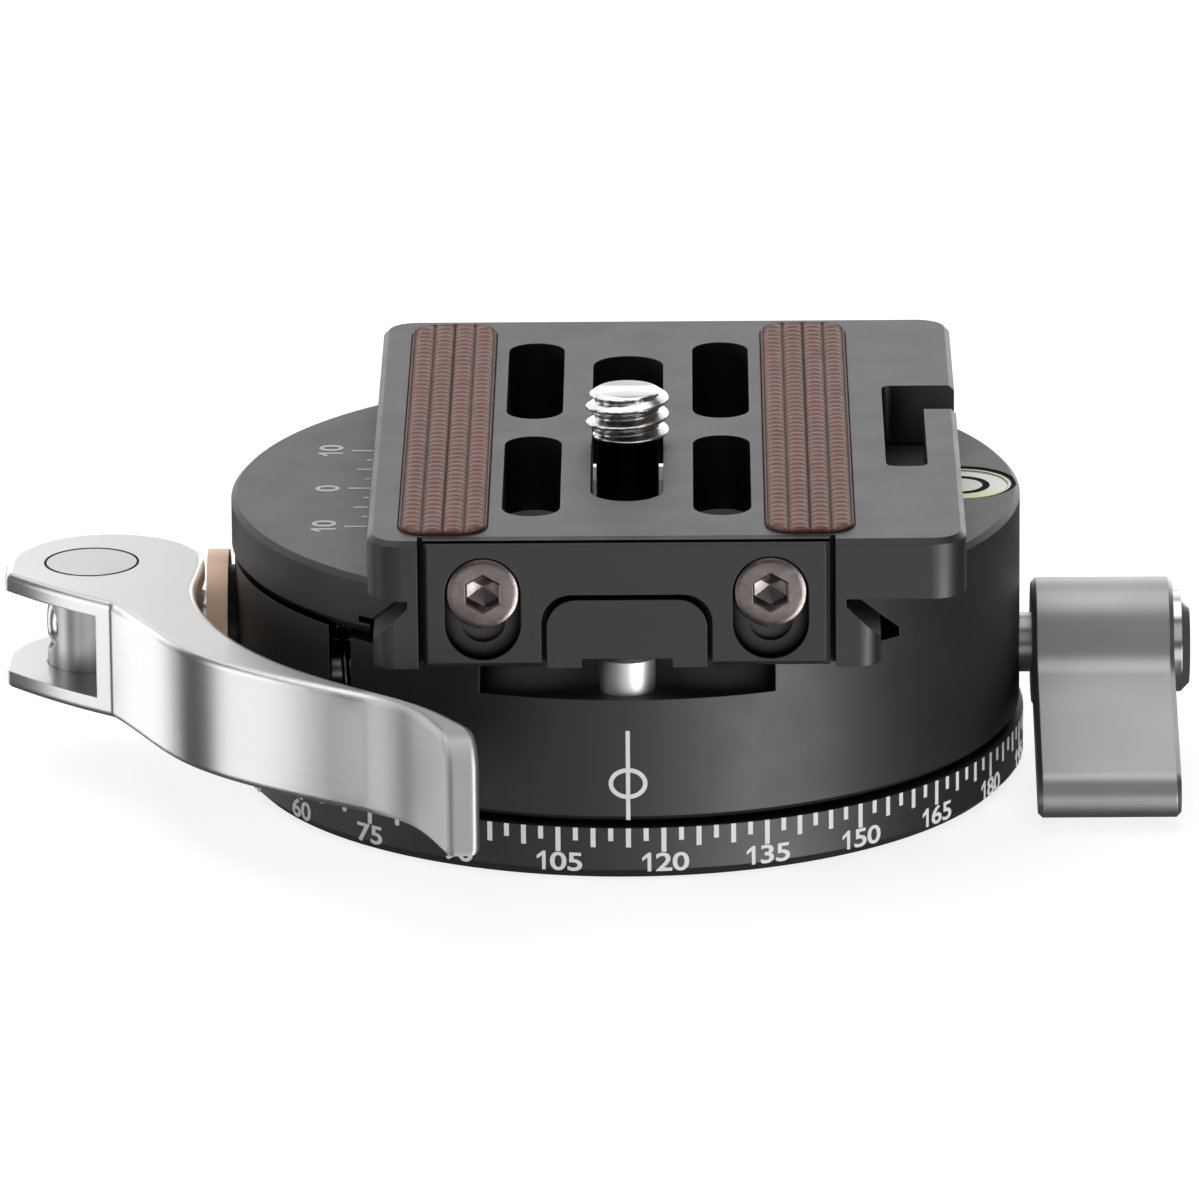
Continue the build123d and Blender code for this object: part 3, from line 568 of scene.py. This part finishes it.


# Rubber with painted shade between its ridges, between its ribs and down its wall towards the
# plate
def ridged_rubber(node):
    shade_tone = (0.03, 0.012, 0.009)
    groove_start = 0.2
    groove_full = -1.0
    groove_share = 0.4
    valley_start = 0.22
    valley_full = 0.02
    valley_share = 0.6
    wall_start = plate_top + 0.2
    wall_full = plate_top + 0.08
    wall_share = 0.85
    low, high = box_mm(node)
    rib_width = (high.x - low.x - 2 * rib_rim) / rib_count
    material = finish(
        f"brown_rubber_{node}",
        tones=((0.175, 0.068, 0.045), (0.22, 0.091, 0.064)),
        roughness=(0.50, 0.60),
        tone_scale=400.0,
        grain_scale=6000.0,
        grain_height=0.01,
        grain_strength=0.4,
        edge_mm=0.03,
        IOR=1.5,
        Specular_IOR_Level=0.35,
    )
    tree = node_tree(material)
    axes = split_axes(tree, object_place(tree))
    turn = calculate(tree, "MULTIPLY", axes["Y"], 2 * pi / (ridge_pitch * MM))
    wave = calculate(tree, "COSINE", turn)
    # Painted shade in the grooves between ridges, in the valleys between ribs and down the wall
    # near the plate
    painted_shade = ramp(tree, wave, groove_start, groove_full, high=groove_share)
    from_rim = calculate(tree, "SUBTRACT", axes["X"], (low.x + rib_rim) * MM)
    ribs_passed = calculate(tree, "DIVIDE", from_rim, rib_width * MM)
    from_valley = calculate(tree, "PINGPONG", ribs_passed, 0.5)
    valley = ramp(tree, from_valley, valley_start, valley_full, high=valley_share)
    wall = ramp(tree, axes["Z"], wall_start * MM, wall_full * MM, high=wall_share)
    for other in (valley, wall):
        painted_shade = calculate(tree, "MAXIMUM", painted_shade, other)
    tint(material, painted_shade, shade_tone)
    return material


rubber = {node: ridged_rubber(node) for node in ("pad_left", "pad_right")}
nylon = finish(
    "nylon",
    tones=((0.80, 0.79, 0.75), (0.86, 0.85, 0.81)),
    roughness=(0.40, 0.50),
    IOR=1.53,
)
ink = {"roughness": (0.50, 0.60), "tone_scale": 2000.0, "grain_height": 0.004, "edge_mm": 0.01}
print_white = finish("print_white", tones=((0.84, 0.84, 0.83), (0.90, 0.90, 0.89)), **ink)
print_grey = finish("print_grey", tones=((0.48, 0.48, 0.475), (0.56, 0.56, 0.555)), **ink)
# Black print, also used for the painted shadow ring round the lever's pin
print_and_shadow_black = finish(
    "print_and_shadow_black",
    tones=((0.008, 0.008, 0.008), (0.012, 0.012, 0.012)),
    roughness=(0.85, 0.95),
    edge_mm=0.01,
    Specular_IOR_Level=0.1,
)


# Pale acrylic and fluid of the spirit level, greener towards the front edge
def level_tint(name, back_tone, front_tone, **constants):
    drift_gain = 0.95
    green_start = lens_centre.y - 1.0
    green_full = lens_centre.y - 3.0
    material = finish(
        name,
        tones=(back_tone, tuple(channel * drift_gain for channel in back_tone)),
        roughness=(0.14, 0.20),
        tone_scale=200.0,
        grain_strength=0.0,
        edge_mm=0.01,
        IOR=1.45,
        **constants,
    )
    tree = node_tree(material)
    depth = split_axes(tree, object_place(tree))["Y"]
    tint(material, ramp(tree, depth, green_start * MM, green_full * MM), front_tone)
    return material


fluid = level_tint("level_fluid", (0.88, 0.85, 0.72), (0.86, 0.92, 0.24))
acrylic = level_tint("level_acrylic", (0.62, 0.60, 0.51), (0.70, 0.76, 0.20))
bubble = finish(
    "level_bubble",
    tones=((0.88, 0.86, 0.76), (0.92, 0.90, 0.82)),
    roughness=(0.10, 0.16),
    tone_scale=200.0,
    grain_strength=0.0,
    edge_mm=0.01,
    IOR=1.3,
)
lens_glass = level_tint("level_lens", (0.95, 0.92, 0.82), (0.92, 0.97, 0.34), Alpha=0.9)

node_materials = {
    base_black: ("base",),
    acrylic: ("level_housing",),
    nylon: ("glide_washer",),
    turned_steel: (
        "retaining_disc",
        "disc_screws",
        "guide_pins",
        "return_springs",
        "lock_spindle",
        "stop_pin_plug",
        "stop_pin_spring",
        "flap_screws",
    ),
    body_black: ("pan_body", "hub_cap", "moving_jaw"),
    polished_steel: ("tie_rod", "knob_cap_screw", "camera_screw"),
    # The screw head is made near-black as painted shade, so it reads black inside the plate's slot
    dark_neck_and_shade_steel: ("screw_head",),
    pin_steel: ("stop_pin",),
    barrel_steel: ("lever_pin",),
    lever_steel: ("clamp_lever",),
    bronze: ("cam_pad", "brake_shoe"),
    knob_titanium: ("pan_knob",),
    fluid: ("level_fluid",),
    bubble: ("level_bubble",),
    lens_glass: ("level_lens",),
    plate_black: ("plate", "screw_slider"),
    flap_black: ("flap",),
    rubber["pad_left"]: ("pad_left",),
    rubber["pad_right"]: ("pad_right",),
}
for material, names in node_materials.items():
    for name in names:
        for slot in nodes[name].material_slots:
            slot.material = material

# Where the camera's side of the body is, in degrees round the middle
front_angle = -90.0


# Dial round the base: ticks every 2.5 degrees and numerals every 15
def dial():
    label_at_front = 115.0
    tick_step = 2.5
    tick_width = 0.38
    tick_lengths = {15.0: 1.9, 5.0: 1.5, 2.5: 1.0}
    numeral_step = 15
    numeral_height = 1.48
    numeral_drop = 3.42
    half = tick_width / 2
    points = []
    faces = []
    for i in range(int(360 / tick_step)):
        reading = i * tick_step
        length = next(long for step, long in tick_lengths.items() if reading % step == 0)
        place = on_drum(ring_r, front_angle + reading - label_at_front, ring_top)
        add_bar(points, faces, -half, half, -length, 0.0, place)
    for reading in range(0, 360, numeral_step):
        numeral_foot = ring_top - numeral_drop
        place = on_drum(ring_r, front_angle + reading - label_at_front, numeral_foot)
        add_numerals(points, faces, str(reading), numeral_height, place)
    marks = mesh_piece("dial_marks", points, faces, [print_white], "base", smooth=False)


# Index on the body: an upright line through a ring
def index_mark():
    line_half = 0.16
    line_top = 7.15
    line_foot = 0.12
    line_rows = 10
    ring_level = 3.0
    ring_outer = (1.46, 1.22)
    ring_stroke = 0.34
    ring_steps = 48
    points = []
    faces = []
    place = on_drum(body_r, front_angle, body_low.z)
    for row in range(line_rows):
        low = line_foot + (line_top - line_foot) * row / line_rows
        high = line_foot + (line_top - line_foot) * (row + 1) / line_rows
        add_bar(points, faces, -line_half, line_half, low, high, place)
    ring_inner = tuple(reach - ring_stroke for reach in ring_outer)
    ring_place = on_drum(body_r, front_angle, body_low.z + ring_level)
    add_ring(points, faces, ring_inner, ring_outer, ring_steps, ring_place)
    mark = mesh_piece("index_mark", points, faces, [print_white], "pan_body", smooth=False)


# Scale on the moving jaw: 10, 0 and 10, read from the plate's side
def jaw_scale():
    inner_x = -19.9
    tick_ends = {10.0: -21.6, 5.0: -21.05, 2.5: -20.35}
    tick_half = 0.16
    reach = 10.0
    step = 2.5
    numeral_foot = -22.25
    numeral_height = 1.9

    def place(u, v, height):
        return (u, v, jaw_top + height)

    points = []
    faces = []
    for i in range(int(2 * reach / step) + 1):
        y = -reach + i * step
        outer_x = next(end for size, end in tick_ends.items() if y % size == 0)
        add_bar(points, faces, outer_x, inner_x, y - tick_half, y + tick_half, place)
    for text, y in (("10", reach), ("0", 0.0), ("10", -reach)):
        def turned(u, v, height, y=y):
            return place(numeral_foot - v, y + u, height)
        add_numerals(points, faces, text, numeral_height, turned)
    marks = mesh_piece("jaw_scale", points, faces, [print_grey], "moving_jaw", smooth=False)


# Rubber strip: four rounded ribs with ridges across them, inside a low rim
def rubber_strip(node):
    corner = 2.3
    rib_height = 0.32
    rib_power = 3
    ridge_height = 0.08
    ridge_power = 0.8
    ridge_fade = 0.5
    rim_height = 0.8 * rib_height
    rim_middle = 0.6 * rib_rim
    rim_reach = 0.8 * rib_rim
    shoulder = 0.14
    end_slope = 0.5
    columns = 84
    rows = 560
    low, high = box_mm(node)
    centre = (low + high) / 2
    half_width = (high.x - low.x) / 2
    half_length = (high.y - low.y) / 2
    rib_width = 2 * (half_width - rib_rim) / rib_count
    valley = high.z - rib_height - ridge_height

    def half_width_at(y):
        past = abs(y) - (half_length - corner)
        if past <= 0:
            return half_width
        return half_width - corner + sqrt(max(corner**2 - past**2, 0.0))

    def edge_distance(x, y):
        past_x = max(abs(x) - (half_width - corner), 0.0)
        past_y = max(abs(y) - (half_length - corner), 0.0)
        if past_x > 0 and past_y > 0:
            return corner - sqrt(past_x**2 + past_y**2)
        return min(half_width - abs(x), half_length - abs(y))

    # The height of a quarter circle that starts upright at share 0 and is level from share 1
    def quarter_circle(share):
        share = min(max(share, 0.0), 1.0)
        return sqrt(1 - (1 - share) ** 2)

    def surface(x, y):
        inside = edge_distance(x, y)
        fallen = shoulder * (1 - quarter_circle(inside / shoulder))
        across = ((x + half_width - rib_rim) / rib_width) % 1.0 * 2 - 1
        crown = 1 - abs(across) ** rib_power
        ridge = (0.5 + 0.5 * cos(2 * pi * y / ridge_pitch)) ** ridge_power
        rib = rib_height * crown + ridge_height * ridge * crown**ridge_fade
        rib *= quarter_circle((inside - rib_rim) / end_slope)
        rim = rim_height * (1 - min(abs(inside - rim_middle) / rim_reach, 1.0))
        return valley + max(rib, rim) - fallen

    points = []
    faces = []
    for r in range(rows + 1):
        y = -half_length + 2 * half_length * r / rows
        reach = half_width_at(y)
        for c in range(columns + 1):
            x = max(-reach, min(reach, -half_width + 2 * half_width * c / columns))
            points.append((centre.x + x, centre.y + y, surface(x, y)))
    span = columns + 1
    for r in range(rows):
        for c in range(columns):
            corner_point = r * span + c
            above = corner_point + span
            faces.append((corner_point, corner_point + 1, above + 1, above))
    outline = [r * span for r in range(rows, -1, -1)]
    outline += list(range(1, span))
    outline += [r * span + columns for r in range(1, rows + 1)]
    outline += [rows * span + c for c in range(columns - 1, 0, -1)]
    first = len(points)
    points += [(points[i][0], points[i][1], low.z) for i in outline]
    count = len(outline)
    for i in range(count):
        j = (i + 1) % count
        faces.append((outline[j], outline[i], first + i, first + j))
    faces.append(tuple(range(first + count - 1, first - 1, -1)))
    strip = mesh_piece(f"ribbed_{node}", points, faces, [rubber[node]], "plate")
    tidy_mesh(strip)
    sharpen(strip, 60)
    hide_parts(node)


# Camera screw with its real thread, on a thinner dark neck
def threaded_screw():
    pitch = 1.27
    root_r = screw_r - 0.66
    tip_r = 2.38
    thread_foot = 26.75
    thread_top = screw_high.z
    foot_fade = 0.35
    chamfer = 0.5625
    crest_share = 0.14
    root_share = 0.16
    start_turn = 0.05
    turn_steps = 72
    level_step = 0.055
    neck_r = 2.4
    neck_profile = (
        (neck_r, screw_low.z),
        (neck_r, thread_foot - 0.35),
        (root_r, thread_foot - 0.1),
        (root_r, thread_foot),
    )

    def thread_radius(level, turn):
        wave = (level / pitch - turn + start_turn) % 1.0
        distance = abs(wave - 0.5) * 2
        if distance < crest_share:
            share = 1.0
        elif distance > 1 - root_share:
            share = 0.0
        else:
            share = 1 - (distance - crest_share) / (1 - root_share - crest_share)
        fade = min(max((level - thread_foot) / foot_fade, 0.0), 1.0)
        radius = root_r + (screw_r - root_r) * share * fade
        return min(radius, tip_r + (thread_top - level) * (screw_r - tip_r) / chamfer)

    def point(radius, step, level):
        angle = 2 * pi * step / turn_steps
        return (
            screw_centre.x + radius * cos(angle),
            screw_centre.y + radius * sin(angle),
            level,
        )

    points = []
    rows = int((thread_top - thread_foot) / level_step)
    for row in range(rows + 1):
        level = thread_foot + (thread_top - thread_foot) * row / rows
        for step in range(turn_steps):
            points.append(point(thread_radius(level, step / turn_steps), step, level))
    faces = turned_faces(rows + 1, turn_steps)
    slots = [0] * len(faces)
    first = len(points)
    for radius, level in neck_profile:
        points += [point(radius, step, level) for step in range(turn_steps)]
    neck_faces = turned_faces(len(neck_profile), turn_steps)
    faces += [tuple(first + i for i in face) for face in neck_faces]
    slots += [1] * len(neck_faces)
    screw = mesh_piece(
        "threaded_camera_screw",
        points,
        faces,
        [polished_steel, dark_neck_and_shade_steel],
        "camera_screw",
        face_slots=slots,
    )
    sharpen(screw, 40)
    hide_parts("camera_screw")


# Flap screws: low domed heads with hexagon sockets
def flap_screws():
    shank_r = 1.5
    head_r = 2.75
    head_depth = 0.65
    dome = 0.10
    dome_middle_r = 0.82 * head_r
    dome_middle_depth = 0.62 * dome
    dome_flat_r = 0.62 * head_r
    edge = 0.22
    edge_corner_r = head_r - 0.07
    edge_corner_depth = dome + 0.35 * edge
    socket_flats = 2.4
    socket_rim = 0.12
    socket_rim_flats = (socket_flats + 2 * socket_rim) * 1.02
    socket_depth = 1.5
    socket_tip_r = 0.02
    socket_tip = socket_depth + 0.55
    steps = 48
    face_y = flap_screw_low.y
    shank_depth = flap_screw_high.y - face_y
    level = (flap_screw_low.z + flap_screw_high.z) / 2
    reach = (flap_screw_high.x - flap_screw_low.x) / 2 - head_r
    middle = (flap_screw_high.x + flap_screw_low.x) / 2

    def circle(angle, radius):
        return radius

    def hexagon(angle, flats):
        sector = pi / 3
        return flats / 2 / cos((angle + sector / 2) % sector - sector / 2)

    profile = (
        (circle, shank_r, shank_depth),
        (circle, shank_r, head_depth),
        (circle, head_r, head_depth),
        (circle, head_r, dome + edge),
        (circle, edge_corner_r, edge_corner_depth),
        (circle, head_r - edge, dome),
        (circle, dome_middle_r, dome_middle_depth),
        (circle, dome_flat_r, 0.0),
        (hexagon, socket_rim_flats, 0.0),
        (hexagon, socket_flats, socket_rim),
        (hexagon, socket_flats, socket_depth),
        (circle, socket_tip_r, socket_tip),
    )
    points = []
    faces = []
    for side in (-1, 1):
        centre_x = middle + side * reach
        first = len(points)
        for outline, size, depth in profile:
            for step in range(steps):
                angle = 2 * pi * step / steps
                radius = outline(angle, size)
                points.append((
                    centre_x + radius * cos(angle),
                    face_y + depth,
                    level + radius * sin(angle),
                ))
        screw_faces = turned_faces(len(profile), steps)
        faces += [tuple(first + i for i in face) for face in screw_faces]
    screws = mesh_piece("socket_flap_screws", points, faces, [screw_steel], "plate")
    tidy_mesh(screws)
    sharpen(screws, 28)
    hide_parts("flap_screws")


# Carries (u, v, height) onto a level surface, which looks up for side 1 and down for side -1
def on_level(centre, level, side=1):
    def place(u, v, height):
        return (centre.x + u, centre.y + v * side, level + height * side)
    return place


# Dark rings of the spirit level: round its housing, and printed on its lens round the bubble
def level_rings():
    housing_low, housing_high = box_mm("level_housing")
    housing_r = (housing_high.x - housing_low.x) / 2
    outline = 0.34
    circle_outer_r = 2.3
    circle_inner_r = 1.75
    steps = 72
    points = []
    faces = []
    for level, inner_r, outer_r in (
        (housing_high.z, housing_r - outline, housing_r),
        (lens_high.z, circle_inner_r, circle_outer_r),
    ):
        place = on_level(lens_centre, level)
        add_ring(points, faces, (inner_r, inner_r), (outer_r, outer_r), steps, place)
    rings = mesh_piece("level_rings", points, faces, [print_and_shadow_black], "pan_body", smooth=False)


# Painted shadow: a thin black ring round the lever's pin, at both ends, where the gap between pin
# and lever lies in shade
def pin_groove():
    pin_low, pin_high = box_mm("lever_pin")
    centre = (pin_low + pin_high) / 2
    overlap = 0.06
    width = 0.18
    steps = 72
    inner_r = (pin_high.x - pin_low.x) / 2 - overlap
    outer_r = inner_r + width
    points = []
    faces = []
    for level, side in ((pin_high.z, 1), (pin_low.z, -1)):
        place = on_level(centre, level, side)
        add_ring(points, faces, (inner_r, inner_r), (outer_r, outer_r), steps, place)
    gap_shadow = mesh_piece("pin_groove", points, faces, [print_and_shadow_black], "pan_body", smooth=False)


dial()
index_mark()
pin_groove()
jaw_scale()
rubber_strip("pad_left")
rubber_strip("pad_right")
threaded_screw()
flap_screws()
level_rings()


# Camera at the photograph's viewing angle
def camera():
    azimuth = radians(0.329)
    elevation = radians(17.356)
    roll = radians(-0.452)
    distance = 878.1
    aim = Vector((0.0, 0.0, 15.0))
    focal_px = 11361.0
    frame_px = 1200.0
    shift = (-0.0243, -0.0263)
    back = Vector((sin(azimuth) * cos(elevation), -cos(azimuth) * cos(elevation), sin(elevation)))
    right = Vector((cos(azimuth), sin(azimuth), 0.0))
    up = back.cross(right)
    rolled_right = right * cos(roll) + up * sin(roll)
    rolled_up = up * cos(roll) - right * sin(roll)
    data = bpy.data.cameras.new("camera")
    data.sensor_width = 36.0
    data.lens = focal_px / frame_px * data.sensor_width
    data.shift_x, data.shift_y = shift
    data.clip_start = 0.01
    data.clip_end = 50.0
    seer = add_object("camera", data)
    turn = Matrix((rolled_right, rolled_up, back)).transposed().to_4x4()
    seer.matrix_world = Matrix.Translation((aim + back * distance) * MM) @ turn
    bpy.context.scene.camera = seer


# Soft lamp that faces the object, as wide and high as it looks from there, in degrees.
# Azimuth 0 is the camera's side and 90 the right, and a negative elevation reaches under the floor
def soft_lamp(name, azimuth, elevation, width, height, radiance):
    distance = 0.9
    aim = Vector((0.0, 0.0, 0.012))
    a = radians(azimuth)
    e = radians(elevation)
    data = bpy.data.lights.new(name, "AREA")
    data.shape = "RECTANGLE"
    data.size = 2 * distance * tan(radians(width / 2))
    data.size_y = 2 * distance * tan(radians(height / 2))
    data.energy = radiance * pi * data.size * data.size_y
    lamp = add_object(name, data)
    away = Vector((sin(a) * cos(e), -cos(a) * cos(e), sin(e)))
    lamp.location = aim + away * distance
    lamp.rotation_euler = away.to_track_quat("Z", "Y").to_euler()
    lamp.visible_camera = False


# 1 for what the camera sees, straight or through the lens of the level, and 0 for other light
def seen_by_camera(tree):
    rays = add_node(tree, "ShaderNodeLightPath").outputs
    return calculate(tree, "MAXIMUM", rays["Is Camera Ray"], rays["Is Transmission Ray"])


# World: white to the camera, and a dim room for everything else
def world():
    room_strength = 0.07
    backdrop_strength = 1.0
    white = (1.0, 1.0, 1.0, 1.0)
    sky = bpy.data.worlds.new("studio")
    bpy.context.scene.world = sky
    tree = node_tree(sky)
    room = tree.nodes["Background"]
    room.inputs["Strength"].default_value = room_strength
    room.inputs["Color"].default_value = white
    backdrop = add_node(tree, "ShaderNodeBackground")
    backdrop.inputs["Strength"].default_value = backdrop_strength
    backdrop.inputs["Color"].default_value = white
    mix = add_node(tree, "ShaderNodeMixShader")
    tree.links.new(seen_by_camera(tree), mix.inputs["Fac"])
    tree.links.new(room.outputs["Background"], mix.inputs[1])
    tree.links.new(backdrop.outputs["Background"], mix.inputs[2])
    tree.links.new(mix.outputs["Shader"], tree.nodes["World Output"].inputs["Surface"])


# Plain pale floor that keeps the object's shadow
def pale_floor():
    half = 6.0
    tone = (0.36, 0.36, 0.36, 1.0)
    glow = 0.82
    corners = [(-half, -half, 0), (half, -half, 0), (half, half, 0), (-half, half, 0)]
    mesh = bpy.data.meshes.new("floor")
    mesh.from_pydata(corners, [], [(0, 1, 2, 3)])
    ground = add_object("floor", mesh)
    material = bpy.data.materials.new("floor")
    tree = node_tree(material)
    shader = tree.nodes["Principled BSDF"]
    shader.inputs["Base Color"].default_value = tone
    shader.inputs["Roughness"].default_value = 0.9
    shader.inputs["Specular IOR Level"].default_value = 0.0
    shader.inputs["Emission Color"].default_value = (1.0, 1.0, 1.0, 1.0)
    strength = calculate(tree, "MULTIPLY", seen_by_camera(tree), glow)
    tree.links.new(strength, shader.inputs["Emission Strength"])
    mesh.materials.append(material)
    ground.visible_glossy = False
    ground.visible_shadow = False


camera()
world()
pale_floor()
# Name, azimuth, elevation, width, height and radiance
for lamp in (
    ("key", 41, -24, 28, 50, 5.6),
    ("front", -5, -14, 40, 26, 0.8),
    ("front_high", 10, 38, 50, 40, 0.45),
    ("left_front", -40, -15, 12, 32, 1.0),
    ("left_side", -80.5, 0, 21, 50, 1.5),
    ("left_step", -117, 0, 10, 50, 0.6),
    ("left_back", -131, 0, 18, 50, 1.45),
    ("back_left", -163, 10, 20, 30, 2.4),
    ("back_right", 157, 8, 34, 34, 2.4),
    ("back_middle", 180, 14, 14, 24, 1.2),
    ("back", 180, 37, 90, 24, 1.0),
    ("high_left", -110, 58, 60, 30, 1.15),
    ("top", 180, 82, 50, 50, 1.5),
):
    soft_lamp(*lamp)
bpy.context.scene.view_settings.view_transform = "Standard"
